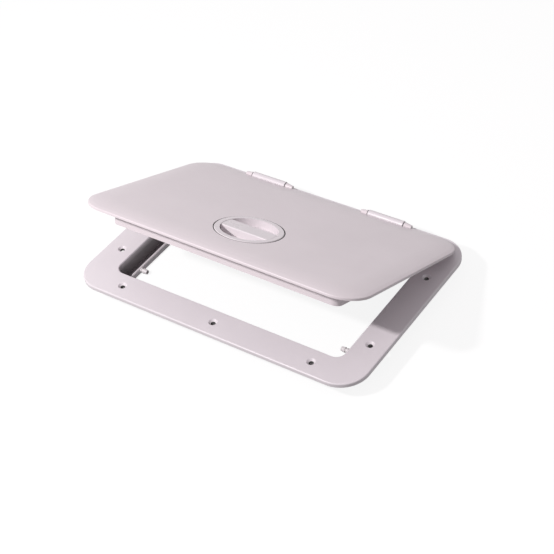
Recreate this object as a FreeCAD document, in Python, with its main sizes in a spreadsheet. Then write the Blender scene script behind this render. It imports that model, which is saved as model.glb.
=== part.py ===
import FreeCAD, Part
import math
import os
import Sketcher

# A deck hatch with a turn latch. Millimetres. The mounting plane under the flange is z = 0, the
# middle of the cut-out is the origin, the hinges lie along +Y and the latch edge along -Y.
# The lid and what it carries are drawn closed, about their own origins, and placed at the opening angle.

NODE_FOLDER = "parts"
os.makedirs(NODE_FOLDER, exist_ok=True)

doc = FreeCAD.newDocument("cam_action_hatch")
sheet = doc.addObject("Spreadsheet::Sheet", "Sizes")

SIZES = (
    # Flange and opening
    ("frame_width", 380.0, "flange, side to side"),
    ("frame_depth", 253.0, "flange, latch edge to hinge edge"),
    ("frame_corner", 33.0, "corner radius of the flange"),
    ("flange_thick", 5.0, "height of the flange over the deck"),
    ("flange_round", 1.6, "rounding of the flange's top edge"),
    ("flange_skin", 3.0, "plate left over the hollow underside"),
    ("flange_lip", 4.0, "width of the solid lip at the flange's edge"),
    ("rib_wall", 2.0, "thickness of the stiffening ribs"),
    ("frame_rib_pitch", 30.0, "spacing of the ribs under the flange"),
    ("opening_width", 306.6, "opening in the flange, side to side"),
    ("opening_depth", 183.0, "opening in the flange, front to back"),
    ("opening_corner", 11.0, "corner radius of that opening"),
    ("opening_bevel", 1.0, "bevel of the opening's top edge"),
    # Gutter
    ("spigot_wall", 2.5, "wall that hangs through the deck"),
    ("gutter_width", 7.2, "gutter at the front and the sides"),
    ("gutter_back", 12.5, "gutter at the hinge side"),
    ("gutter_floor", 2.5, "thickness of the gutter's floor"),
    ("gutter_gap", 1.3, "room under the lid's skirt"),
    ("upstand_wall", 3.1, "inner wall of the gutter"),
    ("upstand_drop", 17.0, "from the flange's top to the top of that wall"),
    ("upstand_corner", 4.0, "inner corner radius of that wall"),
    ("upstand_bevel", 0.8, "bevel of its top edges"),
    # Mounting screws
    ("screw_bore", 5.2, "clearance hole"),
    ("screw_head", 10.0, "countersink"),
    ("screw_boss", 16.0, "pad around each hole under the flange"),
    ("screw_edge_front", 17.5, "hole centre from the front or back edge"),
    ("screw_edge_side", 20.2, "hole centre from the side edge"),
    ("screw_span", 128.3, "outer holes of the front row from the middle"),
    ("screw_side", 58.8, "side holes from the middle"),
    # Drain spouts
    ("drain_place", 61.5, "spout in front of the middle"),
    ("drain_bore", 3.0, "bore"),
    ("drain_tube", 4.4, "outer diameter in the wall"),
    ("drain_collar", 6.0, "collar against the wall"),
    ("drain_collar_thick", 1.5, "its thickness"),
    ("drain_tail", 5.0, "hose tail, diameter"),
    ("drain_barb", 6.4, "barb, diameter"),
    ("drain_tail_length", 7.5, "hose tail beyond the collar"),
    # Hinges
    ("hinge_place", 82.0, "hinge centre from the middle"),
    ("axis_inset", 6.4, "hinge axis from the flange's back edge"),
    ("axis_height", 4.4, "hinge axis over the flange's top"),
    ("lug_length", 47.0, "hinge lug on the flange"),
    ("lug_radius", 4.8, "its barrel"),
    ("lug_round", 0.6, "rounding of the lug's ends"),
    ("pin_diameter", 3.2, "hinge pin"),
    ("press_gap", 0.01, "pin in the lug, each side"),
    ("run_gap", 0.06, "turning fits, each side"),
    ("knuckle_length", 9.0, "lid knuckle on each side of the lug"),
    ("knuckle_radius", 4.0, "at the lug"),
    ("knuckle_tip", 2.6, "at its outer end"),
    ("washer_thick", 0.8, "friction washer between lug and knuckle"),
    ("washer_gap", 0.1, "beside each washer face"),
    ("notch_gap", 0.45, "lid's notch around the lug"),
    # Lid
    ("lid_angle", 23.06, "opening angle at rest"),
    ("lid_side", 6.75, "from the flange's side edge"),
    ("lid_front", 12.25, "from the flange's latch edge"),
    ("lid_back", 2.65, "back edge behind the hinge axis"),
    ("lid_corner", 33.0, "corner radius"),
    ("lid_rim", 4.0, "height of the edge"),
    ("lid_plate", 3.0, "thickness of the top"),
    ("lid_lip", 3.0, "width of the solid lip at the edge"),
    ("lid_gap", 0.3, "closed lid over the flange"),
    ("relief_gap", 0.3, "back edge over the flange while it turns"),
    ("crown_rise", 1.7, "height of the top's flat middle over its edges"),
    ("crown_width", 20.0, "width of the gentle slope around that middle"),
    ("border_width", 5.0, "sloped border of the top"),
    ("border_drop", 1.2, "fall of that border"),
    ("border_round", 1.0, "rounding at its outer edge"),
    ("skirt_depth", 24.0, "lid's top to the bottom of its skirt"),
    ("skirt_wall", 2.5, "its thickness"),
    ("skirt_side", 2.4, "skirt from the opening, each side"),
    ("skirt_front", 2.4, "skirt from the opening, front"),
    ("skirt_back", 1.3, "skirt from the opening, back"),
    ("skirt_corner", 9.0, "outer corner radius"),
    ("seal_half", 3.5, "half the width of the seal"),
    ("seal_side", 0.4, "seal to the wall inside it"),
    ("seal_wall", 2.0, "wall inside the seal"),
    ("seal_wall_depth", 18.5, "lid's top to the bottom of that wall"),
    ("seal_gap", 0.3, "closed seal over the gutter's inner wall"),
    ("seal_bevel", 2.2, "bevel of the seal's lower edges"),
    ("rib_depth", 8.3, "lid's top to the bottom of the ribs and the back of the seal"),
    ("lid_rib_pitch", 42.0, "spacing of the lid's ribs"),
    # Latch housing: its heights are from the visible ring's seat in the lid's middle
    ("latch_gap", 6.0, "latch housing behind the seal"),
    ("latch_ring", 78.0, "visible ring, diameter"),
    ("latch_ring_thick", 1.6, "its thickness"),
    ("latch_ring_sink", 1.0, "its seat below the top of the lid's middle"),
    ("latch_ring_gap", 0.8, "groove left around it"),
    ("latch_ring_bevel", 0.8, "width of its bevel"),
    ("cup_bore", 65.0, "recess for the handle"),
    ("cup_wall", 2.5, "wall of the recess"),
    ("cup_depth", 10.5, "seat to the floor of the recess"),
    ("cup_floor", 3.0, "thickness of that floor"),
    ("cup_gap", 0.25, "housing in the lid's hole, each side"),
    ("bearing_bore", 16.0, "bearing for the handle's hub"),
    ("bearing_wall", 3.2, "wall of the bearing"),
    ("bearing_end", 20.3, "seat to the end of the bearing"),
    ("flat_seal_width", 2.4, "flat seal under the visible ring"),
    ("flat_seal_thick", 0.8, "its thickness"),
    ("ring_nut_width", 7.0, "ring nut, inner to outer edge"),
    ("ring_nut_height", 4.5, "ring nut, below the level of the seal"),
    ("ring_nut_notch", 5.0, "radius of its grip notches"),
    ("boss_depth", 3.5, "lid's top to the seat of the ring nut"),
    ("boss_margin", 4.0, "boss beyond the ring nut"),
    ("nut_room", 2.0, "room around the ring nut"),
    # Handle
    ("handle_gap", 0.3, "handle in the recess, each side"),
    ("handle_lift", 0.1, "handle over the floor of the recess"),
    ("handle_plate", 2.8, "plate at the bottom of the handle"),
    ("handle_sink", 0.2, "top of the bar below the ring"),
    ("bar_half", 10.8, "half the width of the grip bar at its foot"),
    ("bar_taper", 1.5, "draft of the bar, degrees"),
    ("bar_round", 1.2, "rounding of its top edges"),
    ("hub_seal_place", 15.5, "seat to the middle of the shaft seal"),
    ("hub_seal_section", 1.9, "width and height of the shaft seal's groove"),
    ("hub_seal_play", 0.05, "around the shaft seal"),
    # Spindle, nuts and cam
    ("spindle_diameter", 8.0, "threaded spindle"),
    ("spindle_top", 4.2, "seat to the top of the spindle"),
    ("spindle_end", 41.5, "seat to the end of the spindle"),
    ("spindle_flat", 3.2, "flats from the centre line"),
    ("spindle_play", 0.05, "around the spindle"),
    ("spindle_bevel", 0.8, "bevel at its end"),
    ("thrust_outer", 20.0, "friction washer, diameter"),
    ("thrust_thick", 1.3, "its thickness"),
    ("nut_width", 13.0, "across the flats"),
    ("nut_height", 6.5, "height"),
    ("nut_bevel", 0.7, "bevel at its corners"),
    ("cam_clear", 0.3, "gap between the locked cam and the gutter's floor"),
    ("cam_thick", 3.0, "thickness"),
    ("cam_hub", 12.0, "radius at the spindle"),
    ("cam_tip", 8.0, "radius at the tip"),
    ("cam_bite", 8.0, "reach of the locked cam under the gutter"),
    ("cam_bevel", 1.0, "bevel of the cam's upper edge"),
    ("cam_washer_outer", 16.0, "washer on the cam, diameter"),
)

# How the rise of the lid's middle is shared by the slopes around it, from the border inwards
CROWN_SHARES = (0.5, 0.33, 0.17)


class Size:
    """A number that keeps its formula, so that whatever is built from it can be bound to the sheet."""

    def __init__(self, number, text):
        self.number = number
        self.text = text

    def joined(self, sign, other, number):
        text = other.text if isinstance(other, Size) else str(other)
        return Size(number, f"({self.text} {sign} {text})")

    def __add__(self, other):
        return self.joined("+", other, self.number + plain(other))

    def __sub__(self, other):
        return self.joined("-", other, self.number - plain(other))

    def __mul__(self, other):
        return self.joined("*", other, self.number * plain(other))

    def __truediv__(self, other):
        return self.joined("/", other, self.number / plain(other))

    def __neg__(self):
        return Size(-self.number, f"(0 - {self.text})")


def plain(value):
    return value.number if isinstance(value, Size) else float(value)


def steepness(run, rise):
    """The angle from upright of a side that moves in by run over rise."""
    degrees = math.degrees(math.atan2(run.number, rise.number))
    return Size(degrees, f"atan({run.text} / {rise.text})")


def sine(angle):
    return Size(math.sin(math.radians(angle.number)), f"sin({angle.text})")


def cosine(angle):
    return Size(math.cos(math.radians(angle.number)), f"cos({angle.text})")


class Sheet:
    """The driving dimensions, each one under its own name."""

    def __init__(self, rows):
        for row, (alias, value, meaning) in enumerate(rows, 1):
            sheet.set(f"A{row}", alias)
            sheet.set(f"B{row}", str(value))
            sheet.set(f"C{row}", meaning)
            sheet.setAlias(f"B{row}", alias)
            setattr(self, alias, Size(value, f"Sizes.{alias}"))


g = Sheet(SIZES)
doc.recompute()
ZERO = g.frame_width * 0

# Places worked out from the sheet. Heights are over the mounting plane unless their name says lid,
# which is the height over the top of the closed lid.
lid_top = g.flange_thick + g.lid_gap + g.lid_rim
axis_y = g.frame_depth / 2 - g.axis_inset
axis_z = g.flange_thick + g.axis_height
axis_over_lid = axis_z - lid_top
floor_top = lid_top - g.skirt_depth - g.gutter_gap
frame_bottom = floor_top - g.gutter_floor
upstand_top = g.flange_thick - g.upstand_drop
seal_bottom_lid = upstand_top + g.seal_gap - lid_top
lid_width = g.frame_width - g.lid_side * 2
lid_front = axis_y + g.frame_depth / 2 - g.lid_front
lid_depth = lid_front + g.lid_back
pan_depth = g.lid_plate - g.crown_rise
latch_top = lid_top + g.crown_rise - g.latch_ring_sink
pin_radius = g.pin_diameter / 2
washer_slot = g.washer_thick + g.washer_gap * 2
pin_length = g.lug_length + (washer_slot + g.knuckle_length) * 2
bearing_radius = g.bearing_bore / 2
hub_radius = bearing_radius - g.run_gap
cup_radius = g.cup_bore / 2
cup_outer = cup_radius + g.cup_wall
spindle_radius = g.spindle_diameter / 2
spindle_hole = spindle_radius + g.spindle_play
ring_radius = g.latch_ring / 2
ring_nut_outer = cup_outer + g.ring_nut_width
seal_line_front = axis_y + g.opening_depth / 2 - g.gutter_width - g.upstand_wall / 2
seal_inset = g.seal_half + g.latch_gap + cup_outer
latch_reach = seal_line_front - seal_inset
cam_reach = seal_inset - g.upstand_wall / 2 + g.cam_bite
nut_seat = g.latch_ring_sink - g.crown_rise - g.boss_depth
cam_top = frame_bottom - g.cam_clear - latch_top
nut_top = -(g.bearing_end + g.thrust_thick)


def bind(target, path, size):
    """Sets a property to a size and ties it to the sheet."""
    if "." not in path and "[" not in path:
        setattr(target, path, size.number)
    target.setExpression(path, size.text)


def put(target, x=ZERO, y=ZERO, z=ZERO, turn=(0, 0, 1), angle=None):
    """Places an object, with every offset tied to the sheet."""
    degrees = plain(angle) if angle is not None else 0.0
    rotation = FreeCAD.Rotation(FreeCAD.Vector(*turn), degrees)
    target.Placement = FreeCAD.Placement(FreeCAD.Vector(x.number, y.number, z.number), rotation)
    for letter, size in zip("xyz", (x, y, z)):
        if size is not ZERO:
            target.setExpression(f"Placement.Base.{letter}", size.text)
    if isinstance(angle, Size):
        target.setExpression("Placement.Rotation.Angle", angle.text)


def put_on_lid(target, forward=ZERO):
    """Places an object drawn for the closed lid: forward is its origin in front of the hinge axis."""
    sin, cos = sine(g.lid_angle), cosine(g.lid_angle)
    y = axis_y - forward * cos - axis_over_lid * sin
    z = axis_z + forward * sin - axis_over_lid * cos
    put(target, y=y, z=z, turn=(-1, 0, 0), angle=g.lid_angle)


# Sketches

def new_sketch(body, name, plane="XY_Plane", height=None):
    sketch = body.newObject("Sketcher::SketchObject", name)
    support = next(item for item in body.Origin.OriginFeatures if item.Role == plane)
    sketch.AttachmentSupport = (support, [""])
    sketch.MapMode = "FlatFace"
    if height is not None:
        offset = FreeCAD.Vector(0, 0, height.number)
        sketch.AttachmentOffset = FreeCAD.Placement(offset, FreeCAD.Rotation())
        sketch.setExpression("AttachmentOffset.Base.z", height.text)
    return sketch


def dimension(sketch, name, kind, where, size):
    index = sketch.addConstraint(Sketcher.Constraint(kind, *where, size.number))
    sketch.renameConstraint(index, name)
    sketch.setExpression(f"Constraints.{name}", size.text)


def anchor(sketch, name, item, end, x, y):
    """Holds one point of a sketch at x, y. A size of zero puts it on the axis."""
    for kind, across, value, letter in (("DistanceX", -2, x, "x"), ("DistanceY", -1, y, "y")):
        if value is ZERO:
            sketch.addConstraint(Sketcher.Constraint("PointOnObject", item, end, across))
        elif value.number >= 0:
            dimension(sketch, f"{name}_{letter}", kind, (-1, 1, item, end), value)
        else:
            dimension(sketch, f"{name}_{letter}", kind, (item, end, -1, 1), -value)


def draw_circle(sketch, name, radius, x=ZERO, y=ZERO):
    centre = FreeCAD.Vector(x.number, y.number, 0)
    item = sketch.addGeometry(Part.Circle(centre, FreeCAD.Vector(0, 0, 1), radius.number))
    anchor(sketch, name, item, 3, x, y)
    dimension(sketch, f"{name}_radius", "Radius", (item,), radius)


def draw_outline(sketch, name, points):
    """Joins the points with straight lines, each corner held by its own two sizes."""
    places = [FreeCAD.Vector(x.number, y.number, 0) for x, y in points]
    first = sketch.GeometryCount
    for start, end in zip(places, places[1:] + places[:1]):
        sketch.addGeometry(Part.LineSegment(start, end))
    count = len(points)
    for index, (x, y) in enumerate(points):
        following = first + (index + 1) % count
        sketch.addConstraint(Sketcher.Constraint("Coincident", first + index, 2, following, 1))
        anchor(sketch, f"{name}_{index}", first + index, 1, x, y)


def draw_rounded(sketch, name, width, front, depth, corner):
    """Draws a rectangle with round corners across the upright axis, from front before the origin."""
    half, near, radius = width.number / 2, -front.number, corner.number
    far = near + depth.number
    first = sketch.GeometryCount
    middles = (
        (half - radius, near + radius),
        (half - radius, far - radius),
        (radius - half, far - radius),
        (radius - half, near + radius),
    )
    for index, (x, y) in enumerate(middles):
        start = math.radians(90 * index - 90)
        back_x, back_y = middles[index - 1]
        side = FreeCAD.Vector(math.cos(start), math.sin(start), 0) * radius
        line = Part.LineSegment(FreeCAD.Vector(back_x, back_y, 0) + side, FreeCAD.Vector(x, y, 0) + side)
        circle = Part.Circle(FreeCAD.Vector(x, y, 0), FreeCAD.Vector(0, 0, 1), radius)
        sketch.addGeometry(line)
        sketch.addGeometry(Part.ArcOfCircle(circle, start, start + math.pi / 2))
    for index in range(8):
        following = first + (index + 1) % 8
        sketch.addConstraint(Sketcher.Constraint("Tangent", first + index, 2, following, 1))
    near_line, right_line, far_line, left_line = (first + 2 * index for index in range(4))
    sketch.addConstraint(Sketcher.Constraint("Symmetric", near_line, 1, near_line, 2, -2))
    sketch.addConstraint(Sketcher.Constraint("Vertical", right_line))
    sketch.addConstraint(Sketcher.Constraint("Horizontal", far_line))
    sketch.addConstraint(Sketcher.Constraint("Vertical", left_line))
    for index in (3, 5, 7):
        sketch.addConstraint(Sketcher.Constraint("Equal", first + 1, first + index))
    dimension(sketch, f"{name}_corner", "Radius", (first + 1,), corner)
    dimension(sketch, f"{name}_width", "DistanceX", (left_line, 1, right_line, 1), width)
    dimension(sketch, f"{name}_depth", "DistanceY", (near_line, 1, far_line, 1), depth)
    dimension(sketch, f"{name}_front", "DistanceY", (near_line, 1, -1, 1), front)


def draw_bar(sketch, name, left, right, low, high):
    draw_outline(sketch, name, ((left, low), (right, low), (right, high), (left, high)))


def draw_flatted(sketch, name, radius, flat):
    """Draws a circle cut by two level sides, each at the distance flat from the middle."""
    half = flat.number
    reach = math.sqrt(radius.number ** 2 - half ** 2)
    lean = math.atan2(half, reach)
    circle = Part.Circle(FreeCAD.Vector(0, 0, 0), FreeCAD.Vector(0, 0, 1), radius.number)
    right = sketch.addGeometry(Part.ArcOfCircle(circle, -lean, lean))
    far = sketch.addGeometry(Part.LineSegment(
        FreeCAD.Vector(reach, half, 0), FreeCAD.Vector(-reach, half, 0)))
    left = sketch.addGeometry(Part.ArcOfCircle(circle, math.pi - lean, math.pi + lean))
    near = sketch.addGeometry(Part.LineSegment(
        FreeCAD.Vector(-reach, -half, 0), FreeCAD.Vector(reach, -half, 0)))
    loop = (right, far, left, near)
    for item, following in zip(loop, loop[1:] + loop[:1]):
        sketch.addConstraint(Sketcher.Constraint("Coincident", item, 2, following, 1))
    sketch.addConstraint(Sketcher.Constraint("Coincident", right, 3, -1, 1))
    sketch.addConstraint(Sketcher.Constraint("Coincident", left, 3, -1, 1))
    sketch.addConstraint(Sketcher.Constraint("Equal", right, left))
    sketch.addConstraint(Sketcher.Constraint("Horizontal", far))
    sketch.addConstraint(Sketcher.Constraint("Horizontal", near))
    dimension(sketch, f"{name}_radius", "Radius", (right,), radius)
    dimension(sketch, f"{name}_far", "DistanceY", (-1, 1, far, 1), flat)
    dimension(sketch, f"{name}_near", "DistanceY", (near, 1, -1, 1), flat)


# Features

def new_body(name):
    body = doc.addObject("PartDesign::Body", name)
    body.Label = name
    return body


def pad(body, name, sketch, length, down=False, middle=False):
    feature = body.newObject("PartDesign::Pad", name)
    feature.Profile = sketch
    bind(feature, "Length", length)
    feature.Reversed = down
    if middle:
        feature.SideType = "Symmetric"
    return feature


def pocket(body, name, sketch, length=None, up=False, middle=False):
    """Cuts a sketch away, downward unless up is set, and right through if no length is given."""
    feature = body.newObject("PartDesign::Pocket", name)
    feature.Profile = sketch
    feature.Reversed = up
    if middle:
        feature.SideType = "Symmetric"
    if length is None:
        feature.Type = "ThroughAll"
    else:
        bind(feature, "Length", length)
    return feature


def turn(body, name, sketch, axis="V_Axis", cut=False):
    kind = "PartDesign::Groove" if cut else "PartDesign::Revolution"
    feature = body.newObject(kind, name)
    feature.Profile = sketch
    feature.ReferenceAxis = (sketch, [axis])
    feature.Angle = 360
    return feature


def mirror(body, name, originals):
    feature = body.newObject("PartDesign::Mirrored", name)
    feature.Originals = originals
    support = next(item for item in body.Origin.OriginFeatures if item.Role == "YZ_Plane")
    feature.MirrorPlane = (support, [""])
    body.Tip = feature
    return feature


def soften(body, name, base, edges, radius):
    """Rounds the given edges of a feature."""
    feature = body.newObject("PartDesign::Fillet", name)
    feature.Base = (base, edges)
    bind(feature, "Radius", radius)
    return feature


def bevel(body, name, base, edges, size, fall=None):
    """Cuts the given edges at 45 degrees, or by two distances if fall is given."""
    feature = body.newObject("PartDesign::Chamfer", name)
    feature.Base = (base, edges)
    bind(feature, "Size", size)
    if fall is not None:
        feature.ChamferType = "Two distances"
        bind(feature, "Size2", fall)
    return feature


def named_edges(shape, wanted):
    """Gives the sub-element names of the wanted edges."""
    names = []
    for index, edge in enumerate(shape.Edges, 1):
        if any(edge.isSame(other) for other in wanted):
            names.append(f"Edge{index}")
    return names


def level_face(shape, up=True):
    """Finds the highest flat face that looks up, or the lowest one that looks down."""
    sign = 1 if up else -1
    best = None
    for face in shape.Faces:
        if not isinstance(face.Surface, Part.Plane):
            continue
        low, high = face.ParameterRange[0], face.ParameterRange[2]
        if face.normalAt(low, high).z * sign < 0.99:
            continue
        if best is None or face.CenterOfMass.z * sign > best.CenterOfMass.z * sign + 1e-6:
            best = face
    return best


def outer_edges(feature, up=True):
    face = level_face(feature.Shape, up)
    return named_edges(feature.Shape, face.OuterWire.Edges)


def inner_edges(feature, up=True):
    face = level_face(feature.Shape, up)
    wires = [wire for wire in face.Wires if not wire.isSame(face.OuterWire)]
    return named_edges(feature.Shape, [edge for wire in wires for edge in wire.Edges])


def edges_at_height(feature, height):
    """Names the edges that lie wholly at one height."""
    names = []
    for index, edge in enumerate(feature.Shape.Edges, 1):
        box = edge.BoundBox
        if abs(box.ZMin - height.number) < 1e-3 and abs(box.ZMax - height.number) < 1e-3:
            names.append(f"Edge{index}")
    return names


def is_straight(feature, name):
    return isinstance(feature.Shape.getElement(name).Curve, Part.Line)


# Frame

def screw_places():
    """The ten mounting holes: three front, three back, two at each side."""
    row = g.frame_depth / 2 - g.screw_edge_front
    column = g.frame_width / 2 - g.screw_edge_side
    places = []
    for y in (-row, row):
        places += [(-g.screw_span, y), (ZERO, y), (g.screw_span, y)]
    for x in (-column, column):
        places += [(x, -g.screw_side), (x, g.screw_side)]
    return places


def draw_upstand(sketch, name, grow, corner):
    """Draws the gutter's inner wall, moved outward from its inner face by grow."""
    inset = g.gutter_width + g.upstand_wall - grow
    inset_back = g.gutter_back + g.upstand_wall - grow
    width = g.opening_width - inset * 2
    front = g.opening_depth / 2 - inset
    depth = g.opening_depth - inset - inset_back
    draw_rounded(sketch, name, width, front, depth, corner)


def draw_lip_ribs(sketch):
    """Draws the ribs that cross the hollow under the flange, between the lip and the spigot."""
    half = g.rib_wall / 2
    for across, opening, flange in (
        (True, g.opening_width, g.frame_depth),
        (False, g.opening_depth, g.frame_width),
    ):
        other = g.opening_depth if across else g.opening_width
        inner = other / 2 + g.spigot_wall / 2
        outer = flange / 2 - g.flange_lip / 2
        reach = opening.number / 2 - g.opening_corner.number
        count = int(reach / g.frame_rib_pitch.number)
        for index in range(-count, count):
            middle = g.frame_rib_pitch * (index + 0.5)
            for side, low, high in (("near", -outer, -inner), ("far", inner, outer)):
                name = f"{side}_{'cross' if across else 'long'}_{index + count}"
                if across:
                    draw_bar(sketch, name, middle - half, middle + half, low, high)
                else:
                    draw_bar(sketch, name, low, high, middle - half, middle + half)


def build_frame():
    body = new_body("frame")
    half_depth = g.frame_depth / 2
    sketch = new_sketch(body, "flange_outline")
    draw_rounded(sketch, "flange", g.frame_width, half_depth, g.frame_depth, g.frame_corner)
    flange = pad(body, "flange", sketch, g.flange_thick)
    doc.recompute()
    soften(body, "flange_edge", flange, outer_edges(flange), g.flange_round)

    lip_outline = new_sketch(body, "hollow_outline")
    width, depth = g.frame_width - g.flange_lip * 2, g.frame_depth - g.flange_lip * 2
    corner = g.frame_corner - g.flange_lip
    draw_rounded(lip_outline, "hollow", width, half_depth - g.flange_lip, depth, corner)
    pocket(body, "hollow_underside", lip_outline, g.flange_thick - g.flange_skin, up=True)

    spigot_width = g.opening_width + g.spigot_wall * 2
    spigot_depth = g.opening_depth + g.spigot_wall * 2
    spigot_corner = g.opening_corner + g.spigot_wall
    sketch = new_sketch(body, "spigot_outline", height=g.flange_skin)
    draw_rounded(sketch, "spigot", spigot_width, spigot_depth / 2, spigot_depth, spigot_corner)
    pad(body, "spigot", sketch, g.flange_skin - frame_bottom, down=True)

    sketch = new_sketch(body, "lip_rib_outlines")
    draw_lip_ribs(sketch)
    pad(body, "lip_ribs", sketch, g.flange_skin)
    sketch = new_sketch(body, "boss_outlines")
    for index, (x, y) in enumerate(screw_places()):
        draw_circle(sketch, f"boss_{index}", g.screw_boss / 2, x, y)
    pad(body, "screw_bosses", sketch, g.flange_skin)

    sketch = new_sketch(body, "opening_outline", height=g.flange_thick)
    opening = (g.opening_width, g.opening_depth / 2, g.opening_depth, g.opening_corner)
    draw_rounded(sketch, "opening", *opening)
    gutter = pocket(body, "gutter", sketch, g.flange_thick - floor_top)
    doc.recompute()
    bevel(body, "opening_edge", gutter, inner_edges(gutter), g.opening_bevel)

    sketch = new_sketch(body, "upstand_outline", height=floor_top)
    outer_corner = g.upstand_corner + g.upstand_wall
    draw_upstand(sketch, "outside", g.upstand_wall, outer_corner)
    upstand = pad(body, "upstand", sketch, upstand_top - floor_top)
    sketch = new_sketch(body, "clear_outline", height=upstand_top)
    draw_upstand(sketch, "inside", ZERO, g.upstand_corner)
    clear = pocket(body, "clear_opening", sketch)
    doc.recompute()
    bevel(body, "upstand_edge", clear, edges_at_height(clear, upstand_top), g.upstand_bevel)

    build_lugs(body)

    sketch = new_sketch(body, "drain_centres", plane="YZ_Plane")
    drain_hole = g.drain_tube / 2 + g.run_gap
    draw_circle(sketch, "drain", drain_hole, -g.drain_place, drain_height())
    between = g.opening_width - g.gutter_width * 2 + g.upstand_wall
    pocket(body, "drain_holes", sketch, between, middle=True)

    sketch = new_sketch(body, "screw_centres", height=g.flange_thick)
    for index, (x, y) in enumerate(screw_places()):
        draw_circle(sketch, f"screw_{index}", g.screw_bore / 2, x, y)
    doc.recompute()
    holes = body.newObject("PartDesign::Hole", "screw_holes")
    holes.Profile = sketch
    holes.ThreadType = "None"
    bind(holes, "Diameter", g.screw_bore)
    holes.DepthType = "ThroughAll"
    holes.HoleCutType = "Countersink"
    holes.HoleCutCustomValues = True
    bind(holes, "HoleCutDiameter", g.screw_head)
    holes.HoleCutCountersinkAngle = 90
    return body


def build_lugs(body):
    """Raises the two hinge lugs from the flange and bores them for the pins."""
    sketch = new_sketch(body, "lug_outline", plane="YZ_Plane", height=g.hinge_place)
    root = g.flange_skin
    centre = FreeCAD.Vector(axis_y.number, axis_z.number, 0)
    circle = Part.Circle(centre, FreeCAD.Vector(0, 0, 1), g.lug_radius.number)
    barrel = sketch.addGeometry(Part.ArcOfCircle(circle, 0, math.pi))
    left, right = (axis_y - g.lug_radius).number, (axis_y + g.lug_radius).number
    corners = [(left, axis_z.number), (left, root.number), (right, root.number), (right, axis_z.number)]
    for start, end in zip(corners, corners[1:]):
        sketch.addGeometry(Part.LineSegment(FreeCAD.Vector(*start, 0), FreeCAD.Vector(*end, 0)))
    down, across, up = barrel + 1, barrel + 2, barrel + 3
    sketch.addConstraint(Sketcher.Constraint("Tangent", barrel, 2, down, 1))
    sketch.addConstraint(Sketcher.Constraint("Coincident", down, 2, across, 1))
    sketch.addConstraint(Sketcher.Constraint("Coincident", across, 2, up, 1))
    sketch.addConstraint(Sketcher.Constraint("Tangent", up, 2, barrel, 1))
    sketch.addConstraint(Sketcher.Constraint("Vertical", down))
    sketch.addConstraint(Sketcher.Constraint("Horizontal", across))
    sketch.addConstraint(Sketcher.Constraint("Vertical", up))
    anchor(sketch, "barrel", barrel, 3, axis_y, axis_z)
    dimension(sketch, "barrel_radius", "Radius", (barrel,), g.lug_radius)
    dimension(sketch, "root", "DistanceY", (-1, 1, across, 1), root)
    lug = pad(body, "lug", sketch, g.lug_length, middle=True)
    doc.recompute()
    ends = []
    for index, edge in enumerate(lug.Shape.Edges, 1):
        box = edge.BoundBox
        flat = box.XMax - box.XMin < 1e-3
        if flat and box.ZMax > axis_z.number + g.lug_radius.number / 2:
            ends.append(f"Edge{index}")
    rounded = soften(body, "lug_ends", lug, ends, g.lug_round)
    mirror(body, "second_lug", [lug, rounded])
    sketch = new_sketch(body, "pin_bore_outline", plane="YZ_Plane")
    draw_circle(sketch, "pin", pin_radius + g.press_gap, axis_y, axis_z)
    pocket(body, "pin_bores", sketch, middle=True)


def drain_height():
    """The spouts leave through the middle of the gutter's inner wall."""
    return (upstand_top + frame_bottom) / 2


def build_drain(name, side):
    """Turns one hose spout, pushed through the gutter's inner wall from inside the opening."""
    body = new_body(name)
    sketch = new_sketch(body, "spout_section", plane="XZ_Plane")
    wall = g.upstand_wall
    shoulder = wall + g.drain_collar_thick
    end = shoulder + g.drain_tail_length
    barb = shoulder + g.drain_tail_length / 3
    bore, tube, collar = g.drain_bore / 2, g.drain_tube / 2, g.drain_collar / 2
    tail, crest = g.drain_tail / 2, g.drain_barb / 2
    draw_outline(sketch, "spout", (
        (bore, ZERO), (tube, ZERO), (tube, wall), (collar, wall), (collar, shoulder),
        (tail, shoulder), (tail, barb), (crest, barb), (tail, end), (bore, end),
    ))
    turn(body, "spout", sketch)
    inward = g.opening_width / 2 - g.gutter_width
    x = inward if side > 0 else -inward
    put(body, x, -g.drain_place, drain_height(), turn=(0, 1, 0), angle=-90.0 * side)
    return body


# Hinge pins and washers

def build_pin(name, side):
    body = new_body(name)
    sketch = new_sketch(body, "pin_section", plane="XZ_Plane")
    half = pin_length / 2
    slope = pin_radius / 4
    draw_outline(sketch, "pin", (
        (ZERO, -half), (pin_radius - slope, -half), (pin_radius, slope - half),
        (pin_radius, half - slope), (pin_radius - slope, half), (ZERO, half),
    ))
    turn(body, "pin", sketch)
    x = g.hinge_place if side > 0 else -g.hinge_place
    put(body, x, axis_y, axis_z, turn=(0, 1, 0), angle=90.0)
    return body


def ring(name, inner, outer, thick):
    """A flat ring that stands on its own origin."""
    disc = doc.addObject("Part::Cylinder", f"{name}_disc")
    bind(disc, "Radius", outer)
    bind(disc, "Height", thick)
    hole = doc.addObject("Part::Cylinder", f"{name}_hole")
    bind(hole, "Radius", inner)
    bind(hole, "Height", thick)
    cut = doc.addObject("Part::Cut", name)
    cut.Base = disc
    cut.Tool = hole
    cut.Label = name
    return cut


def build_hinge_washers(name, side):
    """Two friction washers, one at each end of a lug."""
    washers = []
    for end in (-1, 1):
        washer = ring(f"{name}_{end + 2}", pin_radius + g.run_gap, g.knuckle_radius, g.washer_thick)
        inner_face = g.lug_length / 2 + g.washer_gap
        offset = inner_face if end > 0 else -(inner_face + g.washer_thick)
        place = g.hinge_place if side > 0 else -g.hinge_place
        put(washer, place + offset, axis_y, axis_z, turn=(0, 1, 0), angle=90.0)
        washers.append(washer)
    group = doc.addObject("Part::Compound", name)
    group.Links = washers
    group.Label = name
    return group


# Lid

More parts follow.
